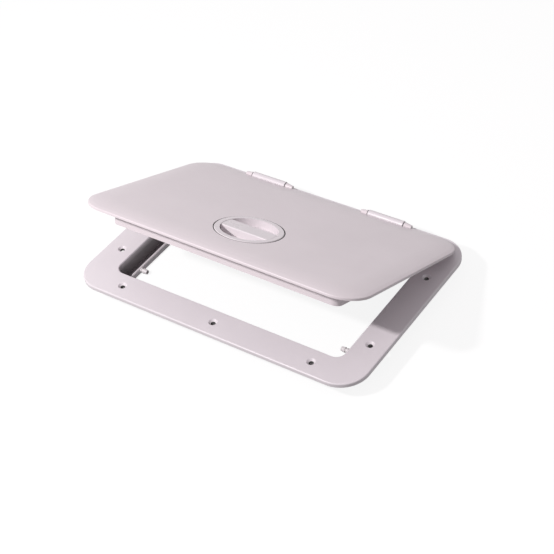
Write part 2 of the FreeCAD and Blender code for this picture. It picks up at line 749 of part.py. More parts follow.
def draw_skirt(sketch, name, shrink):
    """Draws the lid's skirt, moved inward from its outer face by shrink."""
    width = g.opening_width - (g.skirt_side + shrink) * 2
    front = axis_y + g.opening_depth / 2 - g.skirt_front - shrink
    depth = g.opening_depth - g.skirt_front - g.skirt_back - shrink * 2
    draw_rounded(sketch, name, width, front, depth, g.skirt_corner - shrink)


def draw_seal_line(sketch, name, grow, corner):
    """Draws a rectangle over the middle of the gutter's inner wall, moved outward by grow."""
    inset = g.gutter_width + g.upstand_wall / 2 - grow
    inset_back = g.gutter_back + g.upstand_wall / 2 - grow
    width = g.opening_width - inset * 2
    front = axis_y + g.opening_depth / 2 - inset
    depth = g.opening_depth - inset - inset_back
    draw_rounded(sketch, name, width, front, depth, corner)


def draw_lid_ribs(sketch):
    """Draws the rib grid between the skirt's four walls."""
    half = g.rib_wall / 2
    shrink = g.skirt_wall / 2
    side = g.opening_width / 2 - g.skirt_side - shrink
    front = axis_y + g.opening_depth / 2 - g.skirt_front - shrink
    back = axis_y - g.opening_depth / 2 + g.skirt_back + shrink
    across = int(side.number / g.lid_rib_pitch.number)
    for index in range(-across, across + 1):
        middle = g.lid_rib_pitch * index
        name = f"cross_{index + across}"
        draw_bar(sketch, name, middle - half, middle + half, -front, -back)


def draw_lid_rib_rows(sketch):
    """Draws the long ribs, which cross the others."""
    half = g.rib_wall / 2
    side = g.opening_width / 2 - g.skirt_side - g.skirt_wall / 2
    rows = int((g.opening_depth.number / 2 - g.gutter_back.number) / g.lid_rib_pitch.number)
    for index in range(-rows, rows + 1):
        middle = g.lid_rib_pitch * index - axis_y
        draw_bar(sketch, f"row_{index + rows}", -side, side, middle - half, middle + half)


def build_lid():
    body = new_body("lid")
    sketch = new_sketch(body, "lid_outline", height=-g.lid_rim)
    draw_rounded(sketch, "lid", lid_width, lid_front, lid_depth, g.lid_corner)
    plate = pad(body, "plate", sketch, g.lid_rim)
    doc.recompute()
    border = bevel(body, "border", plate, outer_edges(plate), g.border_drop, g.border_width)
    doc.recompute()
    border_foot = edges_at_height(border, -g.border_drop)
    soften(body, "border_edge", border, border_foot, g.border_round)
    build_crown(body)

    sketch = new_sketch(body, "recess_outline", height=-g.lid_rim)
    lip = g.lid_lip
    corner = g.lid_corner - lip
    draw_rounded(sketch, "recess", lid_width - lip * 2, lid_front - lip, lid_depth - lip * 2, corner)
    pocket(body, "recess", sketch, g.lid_rim - g.lid_plate, up=True)
    sketch = new_sketch(body, "pan_outline", height=-g.lid_plate)
    draw_skirt(sketch, "pan", g.skirt_wall)
    pocket(body, "pan", sketch, g.crown_rise, up=True)

    sketch = new_sketch(body, "skirt_outline", height=-g.skirt_depth)
    draw_skirt(sketch, "outside", ZERO)
    draw_skirt(sketch, "inside", g.skirt_wall)
    pad(body, "skirt", sketch, g.skirt_depth - g.lid_plate)

    sketch = new_sketch(body, "seal_wall_outline", height=-g.seal_wall_depth)
    inside = -(g.seal_half + g.seal_side)
    draw_seal_line(sketch, "outside", inside, g.upstand_corner)
    draw_seal_line(sketch, "inside", inside - g.seal_wall, g.upstand_corner / 2)
    pad(body, "seal_wall", sketch, g.seal_wall_depth - pan_depth)

    for name, draw in (("cross_ribs", draw_lid_ribs), ("long_ribs", draw_lid_rib_rows)):
        sketch = new_sketch(body, f"{name}_outline", height=-g.rib_depth)
        draw(sketch)
        pad(body, name, sketch, g.rib_depth - pan_depth)

    build_latch_seat(body)
    build_lid_hinges(body)
    return body


def build_crown(body):
    """Raises the middle of the top in three slopes, each gentler than the one outside it."""
    level = ZERO
    run = g.crown_width / len(CROWN_SHARES)
    for step, share in enumerate(CROWN_SHARES):
        inset = g.border_width + run * step
        rise = g.crown_rise * share
        sketch = new_sketch(body, f"crown_outline_{step}", height=level)
        width, depth = lid_width - inset * 2, lid_depth - inset * 2
        draw_rounded(sketch, "crown", width, lid_front - inset, depth, g.lid_corner - inset)
        slope = pad(body, f"crown_{step}", sketch, rise)
        bind(slope, "TaperAngle", steepness(run, rise) * -1)
        level = level + rise


def build_latch_seat(body):
    """Makes the boss, the room for the ring nut, the ring's seat and the hole for the latch housing."""
    sketch = new_sketch(body, "boss_outline", height=-g.boss_depth)
    draw_circle(sketch, "boss", ring_nut_outer + g.boss_margin, ZERO, -latch_reach)
    pad(body, "latch_boss", sketch, g.boss_depth - pan_depth)
    sketch = new_sketch(body, "nut_room_outline", height=-g.boss_depth)
    draw_circle(sketch, "room", ring_nut_outer + g.nut_room, ZERO, -latch_reach)
    pocket(body, "nut_room", sketch)
    sketch = new_sketch(body, "ring_seat_outline", height=g.crown_rise)
    draw_circle(sketch, "seat", ring_radius + g.latch_ring_gap, ZERO, -latch_reach)
    pocket(body, "ring_seat", sketch, g.latch_ring_sink)
    sketch = new_sketch(body, "housing_hole_outline", height=g.crown_rise)
    draw_circle(sketch, "hole", cup_outer + g.cup_gap, ZERO, -latch_reach)
    pocket(body, "housing_hole", sketch)


def build_lid_hinges(body):
    """Notches the back edge around the lugs and adds the knuckles that the pins pass through."""
    half = g.lug_length / 2 + washer_slot
    inner, outer = g.hinge_place - half, g.hinge_place + half
    sketch = new_sketch(body, "knuckle_section", height=axis_over_lid)
    for name, near, far in (
        ("inner", inner, inner - g.knuckle_length),
        ("outer", outer, outer + g.knuckle_length),
    ):
        draw_outline(sketch, name, (
            (near, ZERO), (near, g.knuckle_radius), (far, g.knuckle_tip), (far, ZERO),
        ))
    knuckles = turn(body, "knuckles", sketch, axis="H_Axis")

    sketch = new_sketch(body, "notch_outline", height=g.crown_rise)
    reach = g.lug_radius + g.notch_gap
    draw_bar(sketch, "notch", inner, outer, -reach, g.lid_back * 2 + g.knuckle_radius)
    notch = pocket(body, "notch", sketch)

    sketch = new_sketch(body, "pin_hole_outline", plane="YZ_Plane", height=g.hinge_place)
    draw_circle(sketch, "pin_hole", pin_radius + g.run_gap, ZERO, axis_over_lid)
    pin_hole = pocket(body, "pin_hole", sketch, pin_length, middle=True)
    mirror(body, "second_hinge", [knuckles, notch, pin_hole])

    sketch = new_sketch(body, "relief_outline", plane="YZ_Plane")
    draw_relief(sketch)
    pocket(body, "back_relief", sketch, middle=True)


def draw_relief(sketch):
    """Draws what comes off the lower back edge so that it clears the flange as the lid turns."""
    radius = g.axis_height - g.relief_gap
    far = radius * 2
    centre = FreeCAD.Vector(0, axis_over_lid.number, 0)
    circle = Part.Circle(centre, FreeCAD.Vector(0, 0, 1), radius.number)
    arc = sketch.addGeometry(Part.ArcOfCircle(circle, -math.pi / 2, 0))
    low, level = (axis_over_lid - far).number, axis_over_lid.number
    corners = (
        (radius.number, level), (far.number, level), (far.number, low),
        (0, low), (0, level - radius.number),
    )
    for start, end in zip(corners, corners[1:]):
        sketch.addGeometry(Part.LineSegment(FreeCAD.Vector(*start, 0), FreeCAD.Vector(*end, 0)))
    out, side, under, back = (arc + step for step in (1, 2, 3, 4))
    sketch.addConstraint(Sketcher.Constraint("Coincident", arc, 2, out, 1))
    sketch.addConstraint(Sketcher.Constraint("Coincident", out, 2, side, 1))
    sketch.addConstraint(Sketcher.Constraint("Coincident", side, 2, under, 1))
    sketch.addConstraint(Sketcher.Constraint("Coincident", under, 2, back, 1))
    sketch.addConstraint(Sketcher.Constraint("Coincident", back, 2, arc, 1))
    sketch.addConstraint(Sketcher.Constraint("Horizontal", out))
    sketch.addConstraint(Sketcher.Constraint("Vertical", side))
    sketch.addConstraint(Sketcher.Constraint("Horizontal", under))
    sketch.addConstraint(Sketcher.Constraint("PointOnObject", back, 1, -2))
    sketch.addConstraint(Sketcher.Constraint("PointOnObject", back, 2, -2))
    anchor(sketch, "centre", arc, 3, ZERO, axis_over_lid)
    dimension(sketch, "radius", "Radius", (arc,), radius)
    sketch.addConstraint(Sketcher.Constraint("Horizontal", arc, 3, arc, 2))
    dimension(sketch, "far", "DistanceX", (-1, 1, side, 1), far)
    dimension(sketch, "fall", "DistanceY", (side, 2, side, 1), far)


def build_gasket():
    body = new_body("lid_gasket")
    sketch = new_sketch(body, "gasket_outline", height=-g.rib_depth)
    draw_seal_line(sketch, "outside", g.seal_half, g.upstand_corner + g.seal_half * 2)
    draw_seal_line(sketch, "inside", -g.seal_half, g.upstand_corner)
    strip = pad(body, "strip", sketch, -g.rib_depth - seal_bottom_lid, down=True)
    doc.recompute()
    bevel(body, "lips", strip, edges_at_height(strip, seal_bottom_lid), g.seal_bevel)
    return body


# Latch housing

def build_housing():
    body = new_body("latch_housing")
    sketch = new_sketch(body, "housing_section", plane="XZ_Plane")
    bearing_outer = bearing_radius + g.bearing_wall
    floor, under = -g.cup_depth, -(g.cup_depth + g.cup_floor)
    seal_in = cup_outer + (ring_radius - cup_outer - g.flat_seal_width) / 2
    seal_out = seal_in + g.flat_seal_width
    bevel_in = ring_radius - g.latch_ring_bevel
    half_thick = g.latch_ring_thick / 3
    draw_outline(sketch, "housing", (
        (bearing_radius, -g.bearing_end), (bearing_outer, -g.bearing_end), (bearing_outer, under),
        (cup_outer, under), (cup_outer, ZERO), (seal_in, ZERO), (seal_in, g.flat_seal_thick),
        (seal_out, g.flat_seal_thick), (seal_out, ZERO), (ring_radius, ZERO),
        (ring_radius, half_thick), (bevel_in, g.latch_ring_thick), (cup_radius, g.latch_ring_thick),
        (cup_radius, floor), (bearing_radius, floor),
    ))
    turn(body, "housing", sketch)
    return body


def build_flat_seal():
    middle = (cup_outer + ring_radius) / 2
    inner = middle - g.flat_seal_width / 2 + g.hub_seal_play
    outer = middle + g.flat_seal_width / 2 - g.hub_seal_play
    return ring("housing_gasket", inner, outer, g.flat_seal_thick)


def build_ring_nut():
    body = new_body("ring_nut")
    sketch = new_sketch(body, "nut_outline", height=nut_seat)
    draw_circle(sketch, "outside", ring_nut_outer)
    draw_circle(sketch, "inside", cup_outer + g.spindle_play)
    pad(body, "nut", sketch, g.ring_nut_height, down=True)
    sketch = new_sketch(body, "grip_outline", height=nut_seat)
    draw_circle(sketch, "grip", g.ring_nut_notch, ring_nut_outer + g.ring_nut_notch / 3)
    grip = pocket(body, "grip", sketch)
    pattern = body.newObject("PartDesign::PolarPattern", "grips")
    pattern.Originals = [grip]
    pattern.Axis = (sketch, ["N_Axis"])
    pattern.Angle = 360
    pattern.Occurrences = 12
    body.Tip = pattern
    return body


# Handle

def build_handle():
    body = new_body("latch_handle")
    sketch = new_sketch(body, "hub_section", plane="XZ_Plane")
    plate_radius = cup_radius - g.handle_gap
    foot = g.handle_lift - g.cup_depth
    plate_top = foot + g.handle_plate
    groove = g.hub_seal_section / 2 + g.hub_seal_play * 2
    groove_radius = hub_radius - g.hub_seal_section
    above, below = groove - g.hub_seal_place, -g.hub_seal_place - groove
    draw_outline(sketch, "hub", (
        (ZERO, plate_top), (ZERO, -g.bearing_end), (hub_radius, -g.bearing_end), (hub_radius, below),
        (groove_radius, below), (groove_radius, above), (hub_radius, above), (hub_radius, foot),
        (plate_radius, foot), (plate_radius, plate_top),
    ))
    turn(body, "hub", sketch)
    sketch = new_sketch(body, "grip_outline", height=plate_top)
    draw_flatted(sketch, "grip", plate_radius, g.bar_half)
    grip = pad(body, "grip", sketch, g.latch_ring_thick - g.handle_sink - plate_top)
    bind(grip, "TaperAngle", g.bar_taper * -1)
    doc.recompute()
    long_edges = [name for name in outer_edges(grip) if is_straight(grip, name)]
    soften(body, "grip_edges", grip, long_edges, g.bar_round)
    sketch = new_sketch(body, "spindle_hole_outline", height=-g.bearing_end)
    draw_circle(sketch, "spindle_hole", spindle_hole)
    pocket(body, "spindle_hole", sketch, g.bearing_end - g.spindle_top + g.hub_seal_play, up=True)
    return body


def build_shaft_seal():
    """A square-cut ring that fills the groove of the handle's hub."""
    inner = hub_radius - g.hub_seal_section + g.hub_seal_play
    return ring("shaft_seal", inner, hub_radius, g.hub_seal_section)


# Spindle, nuts and cam

def build_spindle():
    body = new_body("latch_spindle")
    sketch = new_sketch(body, "shank_outline", height=-g.spindle_top)
    draw_circle(sketch, "shank", spindle_radius)
    pad(body, "shank", sketch, -g.spindle_top - nut_top, down=True)
    sketch = new_sketch(body, "keyed_outline", height=nut_top)
    draw_flatted(sketch, "keyed", spindle_radius, g.spindle_flat)
    pad(body, "keyed_end", sketch, g.spindle_end + nut_top, down=True)
    sketch = new_sketch(body, "end_section", plane="XZ_Plane")
    far = spindle_radius + g.spindle_bevel
    draw_outline(sketch, "end", (
        (spindle_radius - g.spindle_bevel, -g.spindle_end), (far, -g.spindle_end),
        (far, g.spindle_bevel * 2 - g.spindle_end),
    ))
    turn(body, "end_bevel", sketch, cut=True)
    return body


def build_nut(name):
    """A hexagon nut with its corners turned off at both ends, standing on its own origin."""
    body = new_body(name)
    sketch = new_sketch(body, "hexagon")
    corner = g.nut_width / math.sqrt(3)
    half = g.nut_width / 2
    draw_outline(sketch, "hexagon", (
        (corner, ZERO), (corner / 2, half), (-corner / 2, half),
        (-corner, ZERO), (-corner / 2, -half), (corner / 2, -half),
    ))
    pad(body, "blank", sketch, g.nut_height)
    sketch = new_sketch(body, "bore")
    draw_circle(sketch, "bore", spindle_hole)
    pocket(body, "thread_bore", sketch, up=True)
    sketch = new_sketch(body, "corner_section", plane="XZ_Plane")
    far = corner + g.nut_bevel
    ends = (("low", ZERO, g.nut_bevel), ("high", g.nut_height, g.nut_height - g.nut_bevel))
    for end, level, inward in ends:
        draw_outline(sketch, end, ((half, level), (far, inward), (far, level)))
    turn(body, "corners", sketch, cut=True)
    return body


def build_cam():
    """Draws the cam arm as two discs of different size and the tangents between them."""
    body = new_body("cam_arm")
    sketch = new_sketch(body, "arm_outline", height=cam_top)
    distance = cam_reach - g.cam_tip
    lean = math.acos((g.cam_hub.number - g.cam_tip.number) / distance.number)
    up = FreeCAD.Vector(0, 0, 1)
    tip_place = FreeCAD.Vector(distance.number, 0, 0)
    hub = sketch.addGeometry(
        Part.ArcOfCircle(Part.Circle(FreeCAD.Vector(), up, g.cam_hub.number), lean, 2 * math.pi - lean))
    tip = sketch.addGeometry(Part.ArcOfCircle(Part.Circle(tip_place, up, g.cam_tip.number), -lean, lean))
    side = FreeCAD.Vector(math.cos(lean), math.sin(lean), 0)
    under = FreeCAD.Vector(math.cos(lean), -math.sin(lean), 0)
    near = sketch.addGeometry(
        Part.LineSegment(under * g.cam_hub.number, tip_place + under * g.cam_tip.number))
    far = sketch.addGeometry(Part.LineSegment(tip_place + side * g.cam_tip.number, side * g.cam_hub.number))
    for item, following in ((hub, near), (near, tip), (tip, far), (far, hub)):
        sketch.addConstraint(Sketcher.Constraint("Tangent", item, 2, following, 1))
    sketch.addConstraint(Sketcher.Constraint("Coincident", hub, 3, -1, 1))
    anchor(sketch, "tip", tip, 3, distance, ZERO)
    dimension(sketch, "hub_radius", "Radius", (hub,), g.cam_hub)
    dimension(sketch, "tip_radius", "Radius", (tip,), g.cam_tip)
    arm = pad(body, "arm", sketch, g.cam_thick, down=True)
    doc.recompute()
    bevel(body, "lead_in", arm, outer_edges(arm), g.cam_bevel)
    sketch = new_sketch(body, "key_outline", height=cam_top)
    draw_flatted(sketch, "key", spindle_hole, g.spindle_flat + g.spindle_play)
    pocket(body, "key_hole", sketch)
    return body


def put_in_latch(target, drop=ZERO):
    """Places a latch piece at the latch's centre, drop below the visible ring's seat."""
    sin, cos = sine(g.lid_angle), cosine(g.lid_angle)
    depth = drop + axis_over_lid - g.crown_rise + g.latch_ring_sink
    y = axis_y - latch_reach * cos - depth * sin
    z = axis_z + latch_reach * sin - depth * cos
    put(target, y=y, z=z, turn=(-1, 0, 0), angle=g.lid_angle)


def build_all():
    nodes = [build_frame()]
    for word, side in (("left", -1), ("right", 1)):
        nodes.append(build_drain(f"drain_spout_{word}", side))
        nodes.append(build_pin(f"hinge_pin_{word}", side))
        nodes.append(build_hinge_washers(f"hinge_washers_{word}", side))

    for piece in (build_lid(), build_gasket()):
        put_on_lid(piece)
        nodes.append(piece)

    nut_low = nut_top - g.nut_height
    cam_bottom = cam_top - g.cam_thick
    thrust_washer = ring("friction_washer", spindle_hole, g.thrust_outer / 2, g.thrust_thick)
    cam_washer = ring("cam_washer", spindle_hole, g.cam_washer_outer / 2, nut_low - cam_top)
    latch = (
        (build_housing(), ZERO),
        (build_flat_seal(), ZERO),
        (build_ring_nut(), ZERO),
        (build_handle(), ZERO),
        (build_shaft_seal(), g.hub_seal_place + g.hub_seal_section / 2),
        (build_spindle(), ZERO),
        (thrust_washer, -nut_top),
        (build_nut("spindle_nut_upper"), -nut_low),
        (cam_washer, -cam_top),
        (build_cam(), ZERO),
        (build_nut("spindle_nut_lower"), g.nut_height - cam_bottom),
    )
    for piece, drop in latch:
        put_in_latch(piece, drop)
        nodes.append(piece)
    doc.recompute()
    return nodes


def check(nodes):
    failed = [item.Name for item in doc.Objects if "Invalid" in item.State or "Error" in item.State]
    if failed:
        raise RuntimeError(f"did not build: {failed}")
    for node in nodes:
        if node.Shape.isNull() or not node.Shape.isValid() or not node.Shape.Solids:
            raise RuntimeError(f"{node.Label} has no sound shape")


nodes = build_all()
check(nodes)
for node in nodes:
    node.Shape.exportStep(f"{NODE_FOLDER}/{node.Label}.step")
    print(node.Label, len(node.Shape.Solids), "solid,", round(node.Shape.Volume / 1000, 2), "cm3")
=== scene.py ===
import bpy
import math
from mathutils import Matrix, Vector


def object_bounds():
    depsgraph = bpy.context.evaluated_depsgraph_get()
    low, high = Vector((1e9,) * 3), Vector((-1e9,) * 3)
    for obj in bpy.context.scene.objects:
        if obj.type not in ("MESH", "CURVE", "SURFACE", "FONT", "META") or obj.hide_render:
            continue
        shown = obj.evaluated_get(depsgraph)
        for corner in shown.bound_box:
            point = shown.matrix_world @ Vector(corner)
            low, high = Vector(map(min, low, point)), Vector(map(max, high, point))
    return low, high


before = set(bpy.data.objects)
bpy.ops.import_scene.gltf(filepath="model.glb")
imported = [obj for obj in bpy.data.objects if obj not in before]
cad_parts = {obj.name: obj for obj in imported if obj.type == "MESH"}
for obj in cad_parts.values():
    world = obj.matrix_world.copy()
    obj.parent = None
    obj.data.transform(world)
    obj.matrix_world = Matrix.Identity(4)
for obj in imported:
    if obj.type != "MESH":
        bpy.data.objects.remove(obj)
CAD_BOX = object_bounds()

# Camera. The photograph is 554 pixels square, and its camera was solved against the frame's outline,
# its screw holes and the lid. The aim is the middle of the flange's top.
IMAGE_SIZE = 554
SENSOR_WIDTH = 36.0
FOCAL_PIXELS = 1399.46
AZIMUTH, ELEVATION, ROLL = 40.302, 41.418, -8.845
DISTANCE, SHIFT_RIGHT, SHIFT_UP = 1.58296, 0.00843, -0.01626
AIM = Vector((0, 0, 0.005))

# Light
KEY_FROM = Vector((-0.351, -0.585, 0.7315))
KEY_DISTANCE = 1.5
KEY_SIZE = 0.10
KEY_POWER = 16.1
KEY_COLOUR = (1.0, 0.965, 0.975)
SKY_COLOUR = (1.0, 0.955, 0.985)
SKY_STRENGTH = 0.455

# Floor, a small gap under the part, in metres. The rays that show it see its own glow, and the faint
# share of the light that draws the shadows. To all other rays it is a plain grey, so that it throws
# little light back up.
FLOOR_SIZE = 12
FLOOR_GAP = 0.0002
FLOOR_GLOW = 0.875
FLOOR_SHARE = 0.16
FLOOR_BOUNCE = 0.22

# The places below are points on the part, in metres, with the lid as the photograph shows it. The
# frame's are on one corner, and are mirrored to the other three. A fade is the distance or the height
# where it begins, and the one where it ends.
UPWARDS = (0, 0, 1)

# The painted contact shadow on the floor along the spigot's foot, where the floor's glow is taken away:
# half the spigot's length and width, its corner radius, and how the shadow comes in under the spigot and
# goes out beyond it.
SPIGOT = (0.1558, 0.094, 0)
SPIGOT_CORNER = 0.0135
CONTACT_START_FADE = (-0.0005, 0)
CONTACT_END_FADE = (0.0045, 0.010)

# Painted shade in the screw holes: their middles, and the radius of their bore
SCREW_HOLES = ((0.1283, 0.109, 0), (0, 0.109, 0), (0.1698, 0.0588, 0))
SCREW_BORE = 0.0026
BORE_FADE = (SCREW_BORE * 1.02, SCREW_BORE * 1.1)

# Painted shade in the gutter: the distances count outwards from the opening's edge, and it gets darker
# downwards.
OPENING_EDGE = (0.1533, 0.0915, 0)
GUTTER_WIDTH = 0.0072
GUTTER_INNER_FADE = (-GUTTER_WIDTH, -GUTTER_WIDTH * 0.8)
GUTTER_OUTER_FADE = (0.001, 0.0015)
GUTTER_HEIGHT_FADE = (-0.003, 0.0035)
GUTTER_PAINTED_SHADE = 0.68

# Painted shade in the groove round the latch's ring: the heights count from the ring's top.
LATCH_TOP = (0, -0.025362, 0.071977)
LATCH_AXIS = (0, 0.3917, 0.9201)
RING_RADIUS = 0.039
GROOVE_RADIUS = RING_RADIUS + 0.0008
GROOVE_INNER_FADE = (RING_RADIUS - 0.0004, RING_RADIUS - 0.0001)
GROOVE_OUTER_FADE = (GROOVE_RADIUS + 0.0001, GROOVE_RADIUS + 0.0002)
GROOVE_HEIGHT_FADE = (-0.0026, -0.0022)

# The colour of the painted shade in the screw holes, the gutter and the latch's groove
PAINTED_SHADE_COLOUR = (0.035, 0.030, 0.028)


# Node helpers

class Nodes:
    """A material's node tree, with short calls for the nodes that the finishes share.

    Its place is the point on the part, which stays the same when the part moves.
    """

    def __init__(self, name):
        self.material = bpy.data.materials.new(name)
        self.material.use_nodes = True
        self.tree = self.material.node_tree
        self.shader = self.tree.nodes["Principled BSDF"]
        self.place = self.new("ShaderNodeTexCoord").outputs["Object"]

    def new(self, kind, **settings):
        node = self.tree.nodes.new(kind)
        for key, value in settings.items():
            setattr(node, key, value)
        return node

    def link(self, source, target):
        self.tree.links.new(source, target)

    def finish(self, colour, roughness, normal, **numbers):
        """The material, with what its shader takes from the nodes and what is the same all over."""
        for name, source in (("Base Color", colour), ("Roughness", roughness), ("Normal", normal)):
            self.link(source, self.shader.inputs[name])
        for name, value in numbers.items():
            self.shader.inputs[name].default_value = value
        return self.material

    def stretched(self, scale):
        mapping = self.new("ShaderNodeMapping")
        mapping.inputs["Scale"].default_value = scale
        self.link(self.place, mapping.inputs["Vector"])
        return mapping.outputs["Vector"]

    def noise(self, scale, detail=3.0, rough=0.5, vector=None):
        node = self.new("ShaderNodeTexNoise")
        node.inputs["Scale"].default_value = scale
        node.inputs["Detail"].default_value = detail
        node.inputs["Roughness"].default_value = rough
        self.link(vector or self.place, node.inputs["Vector"])
        return node.outputs["Fac"]

    def cells(self, scale):
        node = self.new("ShaderNodeTexVoronoi", feature="F1")
        node.inputs["Scale"].default_value = scale
        self.link(self.place, node.inputs["Vector"])
        return node.outputs["Distance"]

    def ramp(self, source, low, high, start=0.3, end=0.7):
        node = self.new("ShaderNodeMapRange")
        node.inputs["From Min"].default_value = start
        node.inputs["From Max"].default_value = end
        node.inputs["To Min"].default_value = low
        node.inputs["To Max"].default_value = high
        self.link(source, node.inputs["Value"])
        return node.outputs["Result"]

    def blend(self, source, first, second):
        node = self.new("ShaderNodeMix", data_type="RGBA")
        node.inputs["A"].default_value = (*first, 1)
        node.inputs["B"].default_value = (*second, 1)
        self.link(source, node.inputs["Factor"])
        return node.outputs["Result"]

    def mixed(self, source, first, second):
        """The first colour's output, turned into the second colour by the source."""
        result = self.blend(source, second, second)
        self.link(first, result.node.inputs["A"])
        return result

    def combined(self, operation, first, *others):
        """One number from an output and from others, each an output or a plain number."""
        result = first
        for other in others:
            node = self.new("ShaderNodeMath", operation=operation)
            self.link(result, node.inputs[0])
            if isinstance(other, float):
                node.inputs[1].default_value = other
            else:
                self.link(other, node.inputs[1])
            result = node.outputs["Value"]
        return result

    def vector_math(self, operation, first, second=None, result="Vector"):
        node = self.new("ShaderNodeVectorMath", operation=operation)
        self.link(first, node.inputs[0])
        if second is not None:
            node.inputs[1].default_value = second
        return node.outputs[result]

    def parts(self, vector):
        """The outputs X, Y and Z of a vector."""
        node = self.new("ShaderNodeSeparateXYZ")
        self.link(vector, node.inputs["Vector"])
        return node.outputs

    def mirrored(self):
        """The place, with both sides and both ends of the part folded onto one corner."""
        return self.vector_math("ABSOLUTE", self.place)

    def off_line(self, place, point, direction):
        """The distance from the line through a point, along a direction of length 1."""
        away = self.vector_math("SUBTRACT", place, point)
        across = self.vector_math("CROSS_PRODUCT", away, direction)
        return self.vector_math("LENGTH", across, result="Value")

    def off_rounded_box(self, place, half_size, corner):
        """The distance outside a rounded box about the origin."""
        core = tuple(max(0, size - corner) for size in half_size)
        beyond = self.vector_math("SUBTRACT", place, core)
        outside = self.vector_math("MAXIMUM", beyond, (0, 0, 0))
        return self.combined("SUBTRACT", self.vector_math("LENGTH", outside, result="Value"), corner)

    def bump(self, source, height, strength=1.0, under=None):
        node = self.new("ShaderNodeBump")
        node.inputs["Distance"].default_value = height
        node.inputs["Strength"].default_value = strength
        self.link(source, node.inputs["Height"])
        if under is not None:
            self.link(under, node.inputs["Normal"])
        return node.outputs["Normal"]


# Finishes

def scaled(colour, factor):
    return tuple(part * factor for part in colour)


def painted_shade_in_bores_and_gutter(nodes):
    """Painted shade: dark inside the screw holes, and in the gutter, darker towards its foot."""
    corner = nodes.mirrored()
    bores = [nodes.ramp(nodes.off_line(corner, hole, UPWARDS), 1, 0, *BORE_FADE) for hole in SCREW_HOLES]
    beside = nodes.parts(nodes.vector_math("SUBTRACT", corner, OPENING_EDGE))
    beyond = nodes.combined("MAXIMUM", beside["X"], beside["Y"])
    inner = nodes.ramp(beyond, 0, 1, *GUTTER_INNER_FADE)
    outer = nodes.ramp(beyond, 1, 0, *GUTTER_OUTER_FADE)
    depth = nodes.ramp(nodes.parts(nodes.place)["Z"], GUTTER_PAINTED_SHADE, 0, *GUTTER_HEIGHT_FADE)
    return nodes.combined("MAXIMUM", *bores, nodes.combined("MULTIPLY", inner, outer, depth))


def painted_shade_in_groove(nodes):
    """Painted shade in the groove between the latch's ring and the lid."""
    radius = nodes.off_line(nodes.place, LATCH_TOP, LATCH_AXIS)
    inner = nodes.ramp(radius, 0, 1, *GROOVE_INNER_FADE)
    outer = nodes.ramp(radius, 1, 0, *GROOVE_OUTER_FADE)
    above = nodes.vector_math("SUBTRACT", nodes.place, LATCH_TOP)
    height = nodes.vector_math("DOT_PRODUCT", above, LATCH_AXIS, result="Value")
    return nodes.combined("MULTIPLY", inner, outer, nodes.ramp(height, 0, 1, *GROOVE_HEIGHT_FADE))


def moulded_plastic(name, colour, roughness=0.36, painted_shade=None):
    """Satin white plastic: a very fine spark-eroded grain over the slow sink marks of a moulding."""
    nodes = Nodes(name)
    cloud = nodes.ramp(nodes.noise(14.0, detail=2.0), 0, 1)
    shade = nodes.blend(cloud, scaled(colour, 0.982), scaled(colour, 1.012))
    # Where painted shade is given, it darkens the colour towards the painted shade colour.
    if painted_shade:
        shade = nodes.mixed(painted_shade(nodes), shade, PAINTED_SHADE_COLOUR)
    rubbed = nodes.noise(60.0, detail=4.0, rough=0.6)
    sink_marks = nodes.bump(nodes.noise(22.0, detail=1.0), 0.00004)
    grain = nodes.bump(nodes.noise(2600.0, detail=2.0, rough=0.6), 0.000012, under=sink_marks)
    return nodes.finish(shade, nodes.ramp(rubbed, roughness - 0.05, roughness + 0.06), grain, IOR=1.49)


def foam_rubber(name, colour):
    """Closed-cell foam: small pits in a dull black skin."""
    nodes = Nodes(name)
    pits = nodes.cells(1500.0)
    light = tuple(part * 1.5 + 0.01 for part in colour)
    shade = nodes.blend(nodes.ramp(nodes.noise(90.0), 0, 1), colour, light)
    dullness = nodes.ramp(pits, 0.7, 0.9, start=0.0, end=0.6)
    return nodes.finish(shade, dullness, nodes.bump(pits, 0.00012, strength=0.7))


def stainless(name, colour, grain_scale, roughness=0.30):
    """Stainless steel with a fine grain, which runs along the axis with the smallest scale."""
    nodes = Nodes(name)
    grain = nodes.noise(1.0, detail=4.0, rough=0.65, vector=nodes.stretched(grain_scale))
    shade = nodes.blend(nodes.ramp(nodes.noise(120.0), 0, 1), scaled(colour, 0.86), colour)
    brushed = nodes.ramp(grain, roughness - 0.08, roughness + 0.12)
    return nodes.finish(shade, brushed, nodes.bump(grain, 0.00002, strength=0.8), Metallic=1.0)


def nylon(name, colour):
    """Waxy nylon with a faint warm cloud in its colour."""
    nodes = Nodes(name)
    cloud = nodes.noise(150.0)
    warm = (colour[0], colour[1] * 0.985, colour[2] * 0.95)
    shade = nodes.blend(nodes.ramp(cloud, 0, 1), colour, warm)
    skin = nodes.bump(nodes.noise(1800.0, detail=2.0), 0.00001)
    return nodes.finish(shade, nodes.ramp(cloud, 0.38, 0.5), skin, IOR=1.53)


FRAME_WHITE = moulded_plastic("frame_white", (0.78, 0.735, 0.765), painted_shade=painted_shade_in_bores_and_gutter)
LID_WHITE = moulded_plastic("lid_white", (0.775, 0.710, 0.737), painted_shade=painted_shade_in_groove)
LATCH_WHITE = moulded_plastic("latch_white", (0.785, 0.735, 0.760), roughness=0.30, painted_shade=painted_shade_in_groove)
SPOUT_WHITE = moulded_plastic("spout_white", (0.80, 0.77, 0.78), roughness=0.42)
SEAL_BLACK = foam_rubber("seal_black", (0.018, 0.018, 0.02))
STEEL = stainless("steel", (0.62, 0.61, 0.60), (900, 900, 60))
PRESSED_STEEL = stainless("pressed_steel", (0.58, 0.57, 0.56), (60, 900, 900), roughness=0.36)
NYLON = nylon("nylon", (0.75, 0.73, 0.70))
# Black hinge washers: dark partly as black nylon and partly as painted shade in the gap between lug and
# knuckle.
BLACK_NYLON_AND_GAP_SHADE = nylon("black_nylon_and_gap_shade", (0.03, 0.03, 0.032))

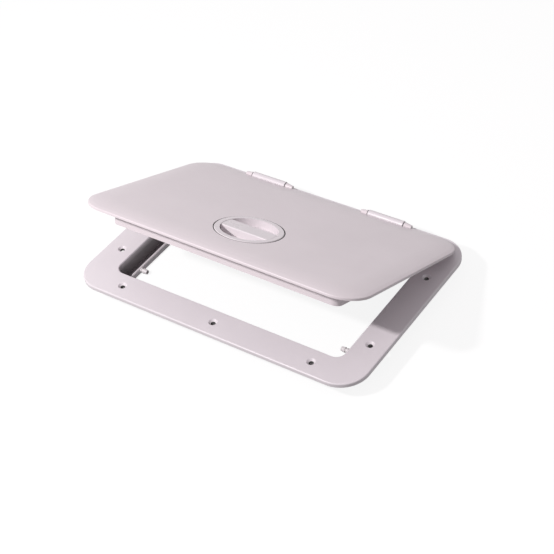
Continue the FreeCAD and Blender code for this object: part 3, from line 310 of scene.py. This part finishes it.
FINISHES = {
    "frame": FRAME_WHITE,
    "drain_spout_left": SPOUT_WHITE,
    "drain_spout_right": SPOUT_WHITE,
    "hinge_pin_left": STEEL,
    "hinge_pin_right": STEEL,
    "hinge_washers_left": BLACK_NYLON_AND_GAP_SHADE,
    "hinge_washers_right": BLACK_NYLON_AND_GAP_SHADE,
    "lid": LID_WHITE,
    "lid_gasket": SEAL_BLACK,
    "latch_housing": LATCH_WHITE,
    "housing_gasket": SEAL_BLACK,
    "ring_nut": LATCH_WHITE,
    "latch_handle": LATCH_WHITE,
    "shaft_seal": SEAL_BLACK,
    "latch_spindle": STEEL,
    "friction_washer": NYLON,
    "spindle_nut_upper": STEEL,
    "cam_washer": STEEL,
    "cam_arm": PRESSED_STEEL,
    "spindle_nut_lower": STEEL,
}

for node, material in FINISHES.items():
    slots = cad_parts[node].data.materials
    slots.clear()
    slots.append(material)


# Floor, light and camera

def seen_or_mirrored(tree):
    """Gives 1 for the rays that show a surface: the camera's, a reflection's and a refraction's."""
    path = tree.nodes.new("ShaderNodeLightPath")
    total = path.outputs["Is Camera Ray"]
    for name in ("Is Glossy Ray", "Is Transmission Ray"):
        either = tree.nodes.new("ShaderNodeMath")
        either.operation = "MAXIMUM"
        tree.links.new(total, either.inputs[0])
        tree.links.new(path.outputs[name], either.inputs[1])
        total = either.outputs[0]
    return total


def matt_grey(nodes, level):
    node = nodes.new("ShaderNodeBsdfDiffuse")
    node.inputs["Color"].default_value = (level, level, level, 1)
    return node.outputs["BSDF"]


def build_floor():
    """A floor that shows as white under the object's shadows, with a painted contact shadow along the
    spigot's foot.
    """
    nodes = Nodes("floor_white")
    nodes.tree.nodes.remove(nodes.shader)
    # Painted contact shadow: the floor's glow fades out along the spigot's foot.
    outside = nodes.off_rounded_box(nodes.mirrored(), SPIGOT, SPIGOT_CORNER)
    inner = nodes.ramp(outside, 1, 0, *CONTACT_START_FADE)
    outer = nodes.ramp(outside, 0, 1, *CONTACT_END_FADE)
    glow_outside_painted_shadow = nodes.combined("MAXIMUM", inner, outer)
    glow = nodes.new("ShaderNodeEmission")
    nodes.link(nodes.combined("MULTIPLY", glow_outside_painted_shadow, FLOOR_GLOW), glow.inputs["Strength"])
    shown = nodes.new("ShaderNodeAddShader")
    nodes.link(glow.outputs["Emission"], shown.inputs[0])
    nodes.link(matt_grey(nodes, FLOOR_SHARE), shown.inputs[1])
    mix = nodes.new("ShaderNodeMixShader")
    nodes.link(seen_or_mirrored(nodes.tree), mix.inputs[0])
    nodes.link(matt_grey(nodes, FLOOR_BOUNCE), mix.inputs[1])
    nodes.link(shown.outputs[0], mix.inputs[2])
    nodes.link(mix.outputs[0], nodes.tree.nodes["Material Output"].inputs["Surface"])
    level = CAD_BOX[0][2] - FLOOR_GAP
    bpy.ops.mesh.primitive_plane_add(size=FLOOR_SIZE, location=(0, 0, level))
    floor = bpy.context.object
    floor.name = "floor"
    floor.data.materials.append(nodes.material)


def build_sky():
    """A world that lights the object softly, and shows as plain white."""
    world = bpy.data.worlds.new("studio")
    bpy.context.scene.world = world
    world.use_nodes = True
    tree = world.node_tree
    tree.nodes.clear()
    ambient = tree.nodes.new("ShaderNodeBackground")
    ambient.inputs["Color"].default_value = (*SKY_COLOUR, 1)
    ambient.inputs["Strength"].default_value = SKY_STRENGTH
    white = tree.nodes.new("ShaderNodeBackground")
    white.inputs["Color"].default_value = (1, 1, 1, 1)
    mix = tree.nodes.new("ShaderNodeMixShader")
    tree.links.new(seen_or_mirrored(tree), mix.inputs[0])
    tree.links.new(ambient.outputs[0], mix.inputs[1])
    tree.links.new(white.outputs[0], mix.inputs[2])
    output = tree.nodes.new("ShaderNodeOutputWorld")
    tree.links.new(mix.outputs[0], output.inputs[0])


def build_key():
    """One small lamp from the front left, which draws the shadows."""
    lamp = bpy.data.lights.new("key", "AREA")
    lamp.energy = KEY_POWER
    lamp.color = KEY_COLOUR
    lamp.shape = "DISK"
    lamp.size = KEY_SIZE
    key = bpy.data.objects.new("key", lamp)
    location = AIM + KEY_FROM.normalized() * KEY_DISTANCE
    turn = (AIM - location).to_track_quat("-Z", "Y").to_matrix().to_4x4()
    key.matrix_world = Matrix.Translation(location) @ turn
    bpy.context.scene.collection.objects.link(key)


def build_camera():
    """The photograph's camera. Back points from the aim to it, and right and up lie in its picture."""
    az, el, roll = (math.radians(angle) for angle in (AZIMUTH, ELEVATION, ROLL))
    back = Vector((math.sin(az) * math.cos(el), -math.cos(az) * math.cos(el), math.sin(el)))
    level = Vector((math.cos(az), math.sin(az), 0))
    upright = back.cross(level)
    right = level * math.cos(roll) + upright * math.sin(roll)
    up = upright * math.cos(roll) - level * math.sin(roll)
    location = AIM + right * SHIFT_RIGHT + up * SHIFT_UP + back * DISTANCE
    data = bpy.data.cameras.new("camera")
    data.sensor_width = SENSOR_WIDTH
    data.lens = FOCAL_PIXELS / IMAGE_SIZE * SENSOR_WIDTH
    camera = bpy.data.objects.new("camera", data)
    camera.matrix_world = Matrix((
        (right.x, up.x, back.x, location.x),
        (right.y, up.y, back.y, location.y),
        (right.z, up.z, back.z, location.z),
        (0, 0, 0, 1),
    ))
    bpy.context.scene.collection.objects.link(camera)
    bpy.context.scene.camera = camera


build_floor()
build_sky()
build_key()
build_camera()
bpy.context.scene.view_settings.view_transform = "Standard"
